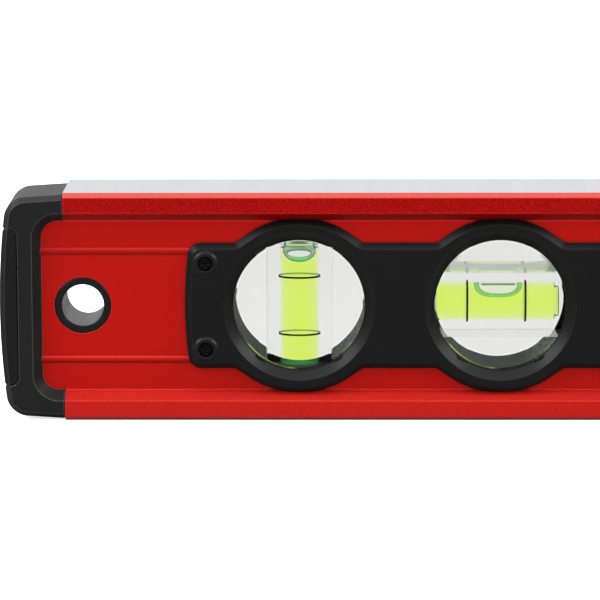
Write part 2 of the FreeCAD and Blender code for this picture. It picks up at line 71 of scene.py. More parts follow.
# The vials. Places along a vial count from its middle, towards the plug.
CHAMBER_ZONE = 5.1 * MM  # nearer the axis than this, a block's faces touch fluid or plug
END_SKIN = 0.1 * MM  # this near its ends, a block counts as dry
SEAT_EDGE = 0.25 * MM  # of a block's lower end, painted dark as shade where it sits in the sleeve
FLUID_CORNER = 0.8 * MM  # the rounding of the chamber's closed end
FLUID_RADIUS = 4.4 * MM
OUTLINED = (-13.75 * MM, 12.5 * MM)  # beyond these the fluid's ends get a painted dark rim
PLUG_RIM = 1.0 * MM  # how far the plug's rim stands into the chamber
PLUG_RIM_EDGE = 0.12 * MM  # the bevel where the fluid meets the rim
PLUG_RECESS_RADIUS = 3.5 * MM
PLUG_RECESS_CORNER = 0.3 * MM
LINE_SKIN = 4.74 * MM  # a reading line shows only beyond this radius
AIR_TOP_CORNER = 0.3 * MM  # of a round bubble's flat top
AIR_GAP = 0.1 * MM  # between a round bubble's neck and the plug's recess
CEILING_GAP = 0.12 * MM  # between the long bubble and the top of its chamber
LONG_BUBBLE_WIDTH = 0.84  # as a share of the chamber's
FULLNESS = 2.6  # of the long bubble's oval, where 2 is an ellipse
ROOF_BULGE = 0.75  # the lower this power, the squarer the long bubble's upper corners
FLOOR_BULGE = 0.9  # and its lower ones

# How finely curved bodies are divided.
LATHE_STEPS = 96
LONG_BUBBLE_STEPS = 64
LONG_BUBBLE_RINGS = 48
CORNER_STEPS = 8

ACRYLIC_IOR = 1.49
FLUID_TINT = (0.90, 0.92, 0.34)  # the share of each colour that one crossing of the surface leaves
OUTLOOK = (1.12, 0.90, 6.4)  # undoes the fluid's tint where air takes its place

# Directions on a lens, seen from the front, where its rim gets painted glow and shade.
LOW_LEFT = (-0.5, 0, -0.87)
LOW_RIGHT = (0.66, 0, -0.75)
DOWN = (0, 0, -1)

# The studio.
FLOOR_SIZE = 6.0  # from the middle to each side
FLOOR_GLOW = 0.75
FLOOR_BOUNCE = 0.36  # the floor's tone as a source of bounced light
FLOOR_THROUGH = 0.68  # and its tone through clear plastic
WORLD_FRONT = 0.035
WORLD_BRIGHT = 0.95
OVERHEAD_LIGHT = ("overhead", (0.0, -0.05, 0.9), (1.2, 0.5), 3.2)
PAIRED_LIGHTS = (
    ("side_light", (0.75, -0.3, 0.6), (0.4, 0.4), 4.2),
    ("front_light", (0.8, -0.75, 0.5), (0.5, 0.5), 1.3),
)

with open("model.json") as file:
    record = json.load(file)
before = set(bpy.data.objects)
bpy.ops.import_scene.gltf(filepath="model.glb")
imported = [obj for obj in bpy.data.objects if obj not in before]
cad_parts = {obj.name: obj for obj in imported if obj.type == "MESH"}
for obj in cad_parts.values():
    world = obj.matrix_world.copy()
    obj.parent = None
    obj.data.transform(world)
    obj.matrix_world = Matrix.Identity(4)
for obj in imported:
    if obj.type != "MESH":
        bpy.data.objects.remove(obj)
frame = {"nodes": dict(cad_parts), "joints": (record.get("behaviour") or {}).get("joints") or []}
nodes = frame["nodes"]
cad_low, cad_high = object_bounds()
CENTRE = (cad_low + cad_high) / 2
HEIGHT = cad_high.z - cad_low.z


# ---------------------------------------------------------------- the frame's places


def vial_joint(window):
    name = window + "_bubble_slide"
    return next(joint for joint in frame["joints"] if joint["name"] == name)


def window_centre(window):
    low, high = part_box(window + "_sleeve")
    return (low + high) / 2


def vial_matrix(window):
    """Local X runs towards the plug, local Y to the back of the level."""
    along = Vector(vial_joint(window)["axis"]).normalized()
    across = Vector((0, 1, 0))
    up = along.cross(across)
    turn = Matrix((along, across, up)).transposed().to_4x4()
    return Matrix.Translation(window_centre(window)) @ turn


def round_bubble_size():
    """Half the length and the radius of the upright bubble. The sloping one has the same size."""
    low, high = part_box("plumb_bubble")
    return (high.z - low.z) / 2, (high.x - low.x) / 2


# ---------------------------------------------------------------- node helpers


def rgb(red, green, blue):
    return (red, green, blue, 1.0)


def grey(tone):
    return rgb(tone, tone, tone)


WHITE = grey(1.0)


class Graph:
    """A node tree under construction."""

    def __init__(self, tree):
        self.tree = tree
        tree.nodes.clear()

    def add(self, kind, inputs=None, **settings):
        node = self.tree.nodes.new(kind)
        for key, value in settings.items():
            setattr(node, key, value)
        for key, value in (inputs or {}).items():
            self.feed(node.inputs[key], value)
        return node

    def feed(self, socket, value):
        if isinstance(value, bpy.types.NodeSocket):
            self.tree.links.new(value, socket)
        elif value is not None:
            socket.default_value = value

    # What is being shaded.

    def geometry(self, name):
        return self.add("ShaderNodeNewGeometry").outputs[name]

    def facing_view(self):
        """1 where the surface faces the eye, 0 where it turns away."""
        return self.vector("DOT_PRODUCT", self.geometry("Incoming"), self.geometry("Normal"))

    def is_ray(self, kind):
        return self.add("ShaderNodeLightPath").outputs["Is " + kind + " Ray"]

    # Numbers, vectors and colours.

    def math(self, operation, a, b=None, c=None, clamp=False):
        node = self.add("ShaderNodeMath", operation=operation, use_clamp=clamp)
        for socket, value in zip(node.inputs, (a, b, c)):
            self.feed(socket, value)
        return node.outputs[0]

    def vector(self, operation, a, b=None):
        node = self.add("ShaderNodeVectorMath", operation=operation)
        self.feed(node.inputs[0], a)
        self.feed(node.inputs["Scale" if operation == "SCALE" else 1], b)
        scalar = operation in ("DOT_PRODUCT", "LENGTH")
        return node.outputs["Value" if scalar else "Vector"]

    def split(self, vector):
        return self.add("ShaderNodeSeparateXYZ", {"Vector": vector}).outputs

    def ramp(self, value, low, high, to_low=0.0, to_high=1.0, smooth=False):
        kind = "SMOOTHSTEP" if smooth else "LINEAR"
        inputs = {
            "Value": value,
            "From Min": low,
            "From Max": high,
            "To Min": to_low,
            "To Max": to_high,
        }
        return self.add("ShaderNodeMapRange", inputs, interpolation_type=kind).outputs[0]

    def between(self, share, a, b):
        return self.ramp(share, 0.0, 1.0, a, b)

    def inverse(self, share):
        return self.math("SUBTRACT", 1.0, share)

    def mix(self, factor, a, b, blend="MIX"):
        node = self.add("ShaderNodeMix", data_type="RGBA", blend_type=blend)
        self.feed(node.inputs[0], factor)
        self.feed(node.inputs[6], a)
        self.feed(node.inputs[7], b)
        return node.outputs[2]

    def tint(self, shares, depth):
        """The colour left after a depth, from the share of red, green and blue left after 1."""
        channels = [self.math("POWER", share, depth) for share in shares]
        colours = dict(zip(("Red", "Green", "Blue"), channels))
        return self.add("ShaderNodeCombineColor", colours).outputs[0]

    # Textures.

    def noise(self, vector, scale, detail=2.0, roughness=0.5):
        inputs = {"Vector": vector, "Scale": scale, "Detail": detail, "Roughness": roughness}
        return self.add("ShaderNodeTexNoise", inputs).outputs["Fac"]

    def stretched_noise(self, vector, scales, detail=2.0, roughness=0.5):
        """A noise with its own scale along each axis."""
        return self.noise(self.vector("MULTIPLY", vector, scales), 1.0, detail, roughness)

    def bump(self, height, strength, distance, normal=None):
        inputs = {"Height": height, "Strength": strength, "Distance": distance, "Normal": normal}
        return self.add("ShaderNodeBump", inputs).outputs[0]

    # Shaders.

    def principled(self, **inputs):
        named = {key.replace("_", " "): value for key, value in inputs.items()}
        return self.add("ShaderNodeBsdfPrincipled", named).outputs[0]

    def transparent(self, colour=WHITE):
        return self.add("ShaderNodeBsdfTransparent", {"Color": colour}).outputs[0]

    def emission(self, colour, strength=1.0):
        return self.add("ShaderNodeEmission", {"Color": colour, "Strength": strength}).outputs[0]

    def mix_shader(self, factor, a, b):
        node = self.add("ShaderNodeMixShader")
        self.feed(node.inputs[0], factor)
        self.feed(node.inputs[1], a)
        self.feed(node.inputs[2], b)
        return node.outputs[0]

    def add_shader(self, a, b):
        return self.add("ShaderNodeAddShader", {0: a, 1: b}).outputs[0]


def new_material(name):
    material = bpy.data.materials.new(name)
    material.use_nodes = True
    return material, Graph(material.node_tree)


def surface(g, shader):
    g.add("ShaderNodeOutputMaterial", {"Surface": shader})


def edge_wear(g, radius):
    """0 on flat faces, rising to 1 along edges, with the rounded normal that goes with it. The mask
    marks edges shown worn and with painted highlight.
    """
    rounded = g.add("ShaderNodeBevel", {"Radius": radius}, samples=6).outputs[0]
    alignment = g.vector("DOT_PRODUCT", rounded, g.geometry("True Normal"))
    return g.ramp(alignment, 0.995, 0.92), rounded


def band(g, value, middle, half_width):
    """1 at the middle of a soft band, 0 outside."""
    away = g.math("ABSOLUTE", g.math("SUBTRACT", value, middle))
    return g.ramp(away, half_width, 0.0, smooth=True)


def inside_oval(g, a, b, half_a, half_b, softness=0.15, fullness=2.0):
    """1 inside an oval about (0, 0), 0 outside."""
    share_a = g.math("POWER", g.math("ABSOLUTE", g.math("DIVIDE", a, half_a)), fullness)
    share_b = g.math("POWER", g.math("ABSOLUTE", g.math("DIVIDE", b, half_b)), fullness)
    total = g.math("ADD", share_a, share_b)
    return g.ramp(total, 1 + softness, 1 - softness, smooth=True)


# ---------------------------------------------------------------- the extrusion


class BeamPoint:
    """Where a shaded point lies on the extrusion."""

    def __init__(self, g):
        self.place = g.geometry("Position")
        _, y, z = g.split(self.place)[:3]
        self.up = g.split(g.geometry("True Normal"))[2]
        self.share_of_height = g.ramp(z, cad_low.z, cad_high.z)
        self.rise = g.math("SUBTRACT", z, CENTRE.z)
        self.from_middle = g.math("ABSOLUTE", self.rise)
        self.on_flange = g.ramp(g.math("ABSOLUTE", y), WEB_REACH, FLANGE_REACH, smooth=True)
        from_bead = g.math("ABSOLUTE", g.math("SUBTRACT", self.from_middle, BEAD_HEIGHT))
        near_bead = g.math("LESS_THAN", from_bead, BEAD_ZONE)
        self.on_bead = g.math("MULTIPLY", near_bead, g.inverse(self.on_flange))
        self.upper_part = g.ramp(self.rise, -0.4 * HEIGHT, 0.3 * HEIGHT)
        # Edges, shown worn and with painted highlight.
        self.wear, self.rounded = edge_wear(g, 0.28 * MM)


def flange_painted_shade(g, at):
    """Painted shade: a flange is painted darker towards the top of the level, and darker still
    where it faces up.
    """
    tone = g.between(at.share_of_height, 1.12, 0.66)
    return g.math("MULTIPLY", tone, g.ramp(at.up, 0.15, 0.4, 1.0, 0.8))


def web_painted_light_and_shade(g, at):
    """Painted light and shade: the web is painted lighter under the upper flange, and its beads
    darker where they face down.
    """
    painted_light_under_flange = g.math("POWER", g.ramp(at.rise, WEB_PAINTED_LIGHT_FROM, WEB_ROOT), 3.0)
    tone = g.math("MULTIPLY_ADD", painted_light_under_flange, 0.28, 0.93)
    bead_painted_shade = g.ramp(at.up, -0.35, 0.15, 0.6, 1.03)
    return g.math("MULTIPLY", tone, g.between(at.on_bead, 1.0, bead_painted_shade))


def painted_sheen(g, at):
    """A little green and blue, a painted sheen that pales the web and the lower flange."""
    pale = g.mix(at.on_flange, rgb(0, 0.006, 0.003), rgb(0, 0.016, 0.010))
    return g.mix(g.math("MULTIPLY", at.upper_part, at.on_flange), pale, rgb(0, 0, 0))


def red_colour(g, at, grain, grain_depth):
    sparkle = g.math("MULTIPLY", g.ramp(grain, 0.38, 0.62, -1.0, 1.0), grain_depth)
    sparkle = g.math("MULTIPLY_ADD", sparkle, 0.5, 0.5)
    colour = g.mix(sparkle, rgb(0.45, 0.0015, 0.001), rgb(1.1, 0.006, 0.004))
    # Painted light and shade on the web and flanges, and a painted sheen on the web and lower
    # flange.
    tone = g.between(at.on_flange, web_painted_light_and_shade(g, at), flange_painted_shade(g, at))
    colour = g.vector("SCALE", colour, tone)
    colour = g.mix(1.0, colour, painted_sheen(g, at), "ADD")
    # Painted highlight: the beads whiten a little where they face up.
    bead_painted_highlight = g.math("MULTIPLY", g.ramp(at.up, 0.0, 0.45, 0.0, 0.02), at.on_bead)
    colour = g.mix(bead_painted_highlight, colour, WHITE)
    cloud = g.noise(at.place, 45.0, 3.0, 0.5)
    colour = g.mix(g.ramp(cloud, 0.3, 0.7, 0.0, 0.1), colour, rgb(0.5, 0.02, 0.015))

    # The bevels take a paler red with painted light and shade: brighter on the lower bevel, darker
    # on the upper.
    on_chamfer = g.math("GREATER_THAN", at.from_middle, HEIGHT / 2 - CHAMFER_HEIGHT)
    chamfer_painted_light = g.mix(at.upper_part, rgb(1.3, 0.1, 0.11), rgb(0.59, 0.12, 0.095))
    colour = g.mix(g.math("MULTIPLY", on_chamfer, 0.6), colour, chamfer_painted_light)
    # Painted highlight: a brighter red along the edges, and a thin painted streak of light along
    # the corner under the upper flange.
    wear = g.math("MULTIPLY", at.wear, g.inverse(at.on_bead))
    root_painted_highlight = g.math("MULTIPLY", band(g, at.rise, WEB_ROOT, ROOT_LIGHT), 0.3)
    painted_edge_highlight = g.math("MAXIMUM", g.math("MULTIPLY", wear, 0.7), root_painted_highlight)
    colour = g.mix(painted_edge_highlight, colour, rgb(1.2, 0.11, 0.09))

    # The red that bounces onto other pieces is a duller one.
    return g.mix(g.is_ray("Camera"), rgb(0.33, 0.16, 0.15), colour)


def red_skin(g, at):
    """The anodised skin: die lines along the extrusion and a fine crystalline sparkle."""
    lines = g.stretched_noise(at.place, (12, 1400, 1400), 3.0, 0.6)
    grain = g.noise(at.place, 3600.0, 2.0, 0.7)
    grain_depth = g.between(at.on_flange, 0.12, g.between(at.share_of_height, 0.3, 1.8))
    relief = g.math("ADD", g.math("MULTIPLY", grain, grain_depth), g.math("MULTIPLY", lines, 0.5))
    return g.principled(
        Base_Color=red_colour(g, at, grain, grain_depth),
        Metallic=0.45,
        Roughness=g.math("MULTIPLY_ADD", lines, 0.12, 0.36),
        Normal=g.bump(relief, 0.35, 0.05 * MM, at.rounded),
        Specular_IOR_Level=0.17,
    )


def milled_metal(g, at):
    """Bare bright metal with fine cutter marks across the level, and painted darker from straight
    above, where it faces the eye: painted shade.
    """
    marks = g.stretched_noise(at.place, (2600, 25, 25), 3.0, 0.65)
    sweeps = g.stretched_noise(at.place, (420, 6, 6), 2.0, 0.5)
    tone = g.mix(g.ramp(sweeps, 0.3, 0.7), rgb(0.62, 0.623, 0.642), rgb(0.645, 0.648, 0.665))
    # Painted shade: darker where the face looks straight at the eye.
    tone = g.vector("SCALE", tone, g.ramp(g.facing_view(), 0.25, 0.95, 1.0, 0.55))
    return g.principled(
        Base_Color=tone,
        Metallic=1.0,
        Roughness=g.math("MULTIPLY_ADD", marks, 0.18, 0.42),
        Normal=g.bump(marks, 0.25, 0.02 * MM, at.rounded),
    )


def red_anodised():
    """Red anodised extrusion, with milled bare metal on the two working faces."""
    material, g = new_material("red_anodised")
    at = BeamPoint(g)
    flat = g.math("GREATER_THAN", g.math("ABSOLUTE", at.up), 0.95)
    outermost = g.math("GREATER_THAN", at.from_middle, HEIGHT / 2 - MILLED_SKIN)
    milled = g.math("MULTIPLY", flat, outermost)
    surface(g, g.mix_shader(milled, red_skin(g, at), milled_metal(g, at)))
    return material


# ---------------------------------------------------------------- black materials


def moulded_plastic(name, tone, roughness, scale, relief, edge_wear_highlight_tone, gloss, painted_glint_share=0.0):
    """Black moulded plastic with a fine spark-eroded texture, edges lightened as slight polish and
    as painted highlight, and painted glinting specks.
    """
    material, g = new_material(name)
    place = g.geometry("Position")
    wear, rounded = edge_wear(g, 0.25 * MM)
    texture = g.noise(place, scale, 3.0, 0.6)
    cloud = g.noise(place, 60.0, 2.0, 0.5)
    dark = rgb(tone * 0.75, tone * 0.75, tone * 0.76)
    light = rgb(tone * 1.3, tone * 1.29, tone * 1.3)
    colour = g.mix(g.ramp(g.math("ADD", texture, cloud), 0.7, 1.3), dark, light)
    # Edges lighter: slight polish, and painted highlight.
    colour = g.mix(g.math("MULTIPLY", wear, 0.6), colour, grey(edge_wear_highlight_tone))

    # Painted glinting specks, most of all on the walls that face left.
    painted_glints = g.ramp(g.noise(place, scale * 0.9, 1.0, 0.5), 0.52, 0.62, 0.0, painted_glint_share)
    sideways = g.split(g.geometry("True Normal"))[0]
    painted_glints = g.math("MULTIPLY", painted_glints, g.ramp(sideways, -0.35, -0.75, 0.12, 1.0))
    colour = g.mix(painted_glints, colour, rgb(0.6, 0.6, 0.58))
    plastic = g.principled(
        Base_Color=colour,
        Roughness=g.math("MULTIPLY_ADD", texture, 0.2, roughness - 0.1),
        Normal=g.bump(texture, 0.5, relief, rounded),
        Specular_IOR_Level=gloss,
    )
    surface(g, plastic)
    return material


def cover_plastic():
    return moulded_plastic(
        "black_plastic",
        tone=0.0025,
        roughness=0.40,
        scale=2600.0,
        relief=0.03 * MM,
        edge_wear_highlight_tone=0.05,
        gloss=0.28,
        painted_glint_share=0.005,
    )


def cap_plastic():
    return moulded_plastic(
        "cap_plastic",
        tone=0.007,
        roughness=0.46,
        scale=1900.0,
        relief=0.04 * MM,
        edge_wear_highlight_tone=0.24,
        gloss=0.32,
        painted_glint_share=0.006,
    )


def bush_plastic():
    return moulded_plastic(
        "bush_plastic",
        tone=0.004,
        roughness=0.33,
        scale=1900.0,
        relief=0.015 * MM,
        edge_wear_highlight_tone=0.02,
        gloss=0.28,
    )


def sleeve_plastic():
    return moulded_plastic(
        "sleeve",
        tone=0.028,
        roughness=0.6,
        scale=2000.0,
        relief=0.2 * MM,
        edge_wear_highlight_tone=0.03,
        gloss=0.3,
        painted_glint_share=0.7,
    )


def bumper_rubber():
    return moulded_plastic(
        "black_rubber",
        tone=0.003,
        roughness=0.6,
        scale=1400.0,
        relief=0.03 * MM,
        edge_wear_highlight_tone=0.14,
        gloss=0.29,
    )


def black_oxide():
    """Blackened steel of the screws, worn a little brighter along the edges, with painted highlight
    there too.
    """
    material, g = new_material("black_screw")
    wear, rounded = edge_wear(g, 0.14 * MM)
    scratches = g.noise(g.geometry("Position"), 5200.0, 3.0, 0.7)
    colour = g.mix(scratches, rgb(0.002, 0.002, 0.0025), rgb(0.009, 0.009, 0.01))
    # Edges brighter: worn, and painted highlight.
    colour = g.mix(g.math("MULTIPLY", wear, 0.6), colour, rgb(0.12, 0.12, 0.125))
    steel = g.principled(
        Base_Color=colour,
        Metallic=0.9,
        Specular_IOR_Level=0.15,
        Roughness=g.math("MULTIPLY_ADD", scratches, 0.2, 0.3),
        Normal=g.bump(scratches, 0.3, 0.02 * MM, rounded),
    )
    surface(g, steel)
    return material


# ---------------------------------------------------------------- clear materials


def let_light_through(g, shader, tint):
    """Lets shadow rays and soft bounced light pass a clear shader straight through."""
    passes = g.math("MAXIMUM", g.is_ray("Shadow"), g.is_ray("Diffuse"))
    return g.mix_shader(passes, shader, g.transparent(tint))


def clear_glass(g, tint, haze_scale):
    """Polished acrylic with faint haze and handling marks, and a bloomed (softened) reflection."""
    place = g.geometry("Position")
    rough = g.ramp(g.noise(place, haze_scale, 3.0, 0.6), 0.45, 0.8, 0.0, 0.03)
    normal = g.bump(g.noise(place, 220.0, 1.0, 0.4), 0.02, 0.02 * MM)
    inputs = {"Color": tint, "Roughness": rough, "IOR": ACRYLIC_IOR, "Normal": normal}
    bent = g.add("ShaderNodeBsdfRefraction", inputs, distribution="GGX").outputs[0]
    inputs = {"Color": tint, "Roughness": rough, "Normal": normal}
    mirror = g.add("ShaderNodeBsdfAnisotropic", inputs, distribution="GGX").outputs[0]
    fresnel = g.add("ShaderNodeFresnel", {"IOR": ACRYLIC_IOR, "Normal": normal}).outputs[0]
    return g.mix_shader(g.ramp(fresnel, 0.035, 1.0), bent, mirror)


def window_offset(g, window):
    """Where a shaded point is, seen from the middle of its window."""
    return g.vector("SUBTRACT", g.geometry("Position"), tuple(window_centre(window)))


def vial_distances(g, window):
    """How far a shaded point is along the vial, towards its plug, and from the vial's axis."""
    offset = window_offset(g, window)
    along = g.vector("DOT_PRODUCT", offset, tuple(vial_joint(window)["axis"]))
    distance = g.vector("LENGTH", offset)
    squares = g.math("SUBTRACT", g.math("POWER", distance, 2.0), g.math("MULTIPLY", along, along))
    return along, g.math("SQRT", g.math("MAXIMUM", squares, 0.0))


def on_flank(g):
    """1 on faces that look along the level or up and down, 0 on those to the front and back."""
    depthwise = g.split(g.geometry("True Normal"))[1]
    return g.math("LESS_THAN", g.math("ABSOLUTE", depthwise), 0.9)


def lens_rim(g, window):
    """A lens's rim: painted shade low down, and two arcs of painted glow where it catches the
    vial's light.
    """
    offset = window_offset(g, window)
    outward = g.vector("NORMALIZE", g.vector("MULTIPLY", offset, (1, 0, 1)))

    def towards(direction, from_share, to_share):
        share = g.vector("DOT_PRODUCT", outward, direction)
        return g.ramp(share, from_share, to_share, smooth=True)

    # Painted glow in two arcs, low on the left and low on the right.
    low_left = towards(LOW_LEFT, 0.86, 0.97)
    low_right = towards(LOW_RIGHT, 0.97, 1.0)
    painted_arcs = g.math("MULTIPLY_ADD", low_right, 0.4, low_left)
    flecks = g.noise(g.vector("MULTIPLY", offset, (1, 0.2, 1)), 420.0, 2.0, 0.6)
    strength = g.math("MULTIPLY", painted_arcs, g.ramp(flecks, 0.35, 0.65))
    glow = g.emission(rgb(0.42, 0.55, 0.09), strength)
    # Painted shade: the rim is darker low down.
    shade = g.mix(towards(DOWN, 0.6, 0.85), grey(0.98), grey(0.1))
    outside = g.add_shader(g.transparent(shade), glow)
    return g.mix_shader(g.geometry("Backfacing"), outside, g.transparent(grey(0.98)))


def lens_material(window):
    """A thin clear disc over a window."""
    material, g = new_material("clear_lens_" + window)
    glass = clear_glass(g, rgb(0.932, 0.932, 0.930), 300.0)
    glass = let_light_through(g, glass, rgb(0.93, 0.94, 0.93))
    surface(g, g.mix_shader(on_flank(g), glass, lens_rim(g, window)))
    return material


def painted_block_seat(g):
    """The end of a block where it sits in the sleeve: painted dark as shade, with a faint painted
    glow from within.
    """
    return g.principled(
        Base_Color=grey(0.04),
        Roughness=0.8,
        Specular_IOR_Level=0.1,
        Emission_Color=rgb(1.0, 1.0, 0.97),
        Emission_Strength=0.022,
    )


def block_material(window):
    """A vial block or plug: glass outside, and invisible where fluid or glue wets its faces."""
    material, g = new_material("clear_acrylic_" + window)
    along, radial = vial_distances(g, window)
    low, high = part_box("level_vial_block")
    half_length = (high.x - low.x) / 2
    near_axis = g.math("LESS_THAN", radial, CHAMBER_ZONE)
    inside = g.math("LESS_THAN", g.math("ABSOLUTE", along), half_length - END_SKIN)
    wetted = g.math("MULTIPLY", near_axis, inside)

    # The flanks bend only part of the light, so that the sleeve shows through them.
    up = g.split(g.geometry("True Normal"))[2]
    beneath = g.ramp(g.split(window_offset(g, window))[2], -1 * MM, 0.0, 0.62, 0.25)
    softened = g.math("MULTIPLY", on_flank(g), g.ramp(up, 0.4, 0.6, 0.84, beneath))
    glass = clear_glass(g, rgb(0.985, 0.99, 0.985), 260.0)
    glass = let_light_through(g, glass, rgb(0.95, 0.96, 0.95))
    block = g.mix_shader(g.math("MAXIMUM", wetted, softened), glass, g.transparent())

    # The lower end is painted as the seat: dark shade and a faint painted glow.
    at_end = g.math("LESS_THAN", along, SEAT_EDGE - half_length)
    level_face = g.math("GREATER_THAN", g.math("ABSOLUTE", up), 0.5)
    surface(g, g.mix_shader(g.math("MULTIPLY", at_end, level_face), block, painted_block_seat(g)))
    return material


def reading_line(window):
    """The black ring printed round the chamber: only its thin outer skin shows."""
    material, g = new_material("reading_line_" + window)
    ink = g.noise(g.geometry("Position"), 3000.0, 2.0, 0.5)
    colour = g.mix(ink, rgb(0.001, 0.0015, 0.0005), rgb(0.005, 0.007, 0.002))
    rough = g.math("MULTIPLY_ADD", ink, 0.2, 0.5)
    black = g.principled(Base_Color=colour, Roughness=rough, Specular_IOR_Level=0.03)
    radial = vial_distances(g, window)[1]
    on_skin = g.math("GREATER_THAN", radial, LINE_SKIN)
    cover = g.math("MULTIPLY", on_skin, g.between(g.geometry("Backfacing"), 1.0, 0.6))
    surface(g, g.mix_shader(cover, g.transparent(), black))
    return material


def fluid_material(window):
    """Dyed spirit: each crossing of its surface takes the tint of half the depth behind it, and
    adds a faint painted glow.
    """
    material, g = new_material("vial_fluid_" + window)
    facing = g.math("ABSOLUTE", g.facing_view())
    swirl = g.noise(g.geometry("Position"), 180.0, 2.0, 0.5)
    depth = g.math("MULTIPLY", facing, g.ramp(swirl, 0.3, 0.7, 0.95, 1.05))
    # Painted glow: a faint green light, stronger where the surface faces the eye.
    glow = g.emission(rgb(0.136, 1.0, 0.30), g.math("MULTIPLY", depth, 0.12))
    fluid = g.add_shader(g.transparent(g.tint(FLUID_TINT, depth)), glow)

    # Painted shade: the rounded ends, which turn the light away, get a dark green rim.
    along = vial_distances(g, window)[0]
    at_closed_end = g.math("LESS_THAN", along, OUTLINED[0])
    at_plug = g.math("GREATER_THAN", along, OUTLINED[1])
    near_end = g.math("MAXIMUM", at_closed_end, at_plug)
    grazing = g.ramp(facing, 0.42, 0.2, smooth=True)
    painted_end_outline = g.math("MULTIPLY", g.math("MULTIPLY", near_end, grazing), 0.85)
    surface(g, g.mix_shader(painted_end_outline, fluid, g.emission(rgb(0.03, 0.14, 0.05))))
    return material


# ---------------------------------------------------------------- bubble materials


def bubble_coordinates(g, window):
    """The shaded point from the bubble's middle: along the vial, and across it from below up."""
    low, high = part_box(window + "_bubble")
    place = g.add("ShaderNodeTexCoord").outputs["Object"]
    offset = g.vector("SUBTRACT", place, tuple((low + high) / 2))
    axis = Vector(vial_joint(window)["axis"])
    along = g.vector("DOT_PRODUCT", offset, tuple(axis))
    across = g.vector("DOT_PRODUCT", offset, tuple(axis.cross(Vector((0, 1, 0)))))
    return offset, along, across


def bubble_surface(g, outlook, painted_glow_colour, from_axis):
    """Air in the fluid: a clear outlook through its middle, and round it a painted glow in the
    dye's colour.
    """
    share = g.math("DIVIDE", from_axis, FLUID_RADIUS)
    depth = g.math("SQRT", g.math("SUBTRACT", 1.0, g.math("MULTIPLY", share, share), clamp=True))
    untinted = g.transparent(g.tint(OUTLOOK, depth))
    # Painted glow everywhere but the outlook.
    front = g.mix_shader(outlook, g.emission(painted_glow_colour), untinted)
    shader = g.mix_shader(g.geometry("Backfacing"), front, g.transparent())
    surface(g, let_light_through(g, shader, WHITE))


def round_bubble_body(g, painted_streaks, painted_dark_outline, along, across):
    """Painted light and shade: streaked grey green, a brilliant green glowing lip beneath and a
    dark border where the surface turns away.
    """
    colour = g.mix(g.ramp(painted_streaks, 0.4, 0.65), rgb(0.25, 0.37, 0.46), rgb(0.48, 0.56, 1.1))
    # Painted glow: a brilliant green lip low down, fullest in the middle.
    lip = g.ramp(along, -0.7 * MM, -1.5 * MM, smooth=True)
    lip_middle = g.ramp(g.math("ABSOLUTE", across), 3.0 * MM, 0.6 * MM, 0.45, 1.0, smooth=True)
    colour = g.mix(g.math("MULTIPLY", lip, lip_middle), colour, rgb(0.09, 0.72, 0.32))
    # Painted shade: a dark border.
    return g.mix(g.math("MULTIPLY", painted_dark_outline, 0.8), colour, rgb(0.03, 0.03, 0.05))


def round_bubble_neck(g, painted_streaks, painted_dark_outline, from_top):
    """The part in the plug's recess: painted paler, with a dark painted border and a painted
    highlight disc at its very top.
    """
    colour = g.mix(g.ramp(painted_streaks, 0.4, 0.6), rgb(0.16, 0.26, 0.32), rgb(0.34, 0.46, 0.72))
    colour = g.mix(g.math("MULTIPLY", painted_dark_outline, 0.6), colour, rgb(0.08, 0.12, 0.10))
    # Painted highlight: a pale disc at the very top.
    return g.mix(g.ramp(from_top, -0.45 * MM, -0.2 * MM), colour, rgb(0.72, 0.75, 0.72))


def round_bubble_material(window):
    """A streaked body and neck, all painted light and shade, with a clear bright oval low down
    ringed by painted shade.
    """
    material, g = new_material("bubble_" + window)
    offset, along, across = bubble_coordinates(g, window)
    painted_streaks = g.stretched_noise(offset, (250, 250, 1600))
    # Painted shade: a dark border where the surface turns from the eye.
    painted_dark_outline = g.ramp(g.math("ABSOLUTE", g.facing_view()), 0.42, 0.22, smooth=True)
    from_top = g.math("SUBTRACT", along, round_bubble_size()[0])
    in_recess = g.ramp(from_top, -1.15 * MM, -0.85 * MM, smooth=True)
    body = round_bubble_body(g, painted_streaks, painted_dark_outline, along, across)
    colour = g.mix(in_recess, body, round_bubble_neck(g, painted_streaks, painted_dark_outline, from_top))
    from_oval = g.math("SUBTRACT", along, 0.05 * MM)
    # Painted shade in a ring round the clear oval.
    from_shade = g.math("SUBTRACT", from_oval, 0.12 * MM)
    oval = inside_oval(g, across, from_oval, 2.65 * MM, 0.78 * MM)
    shade = inside_oval(g, across, from_shade, 2.95 * MM, 0.95 * MM)
    colour = g.mix(g.math("MULTIPLY", shade, 0.75), colour, rgb(0.06, 0.08, 0.1))
    bubble_surface(g, oval, colour, across)
    return material


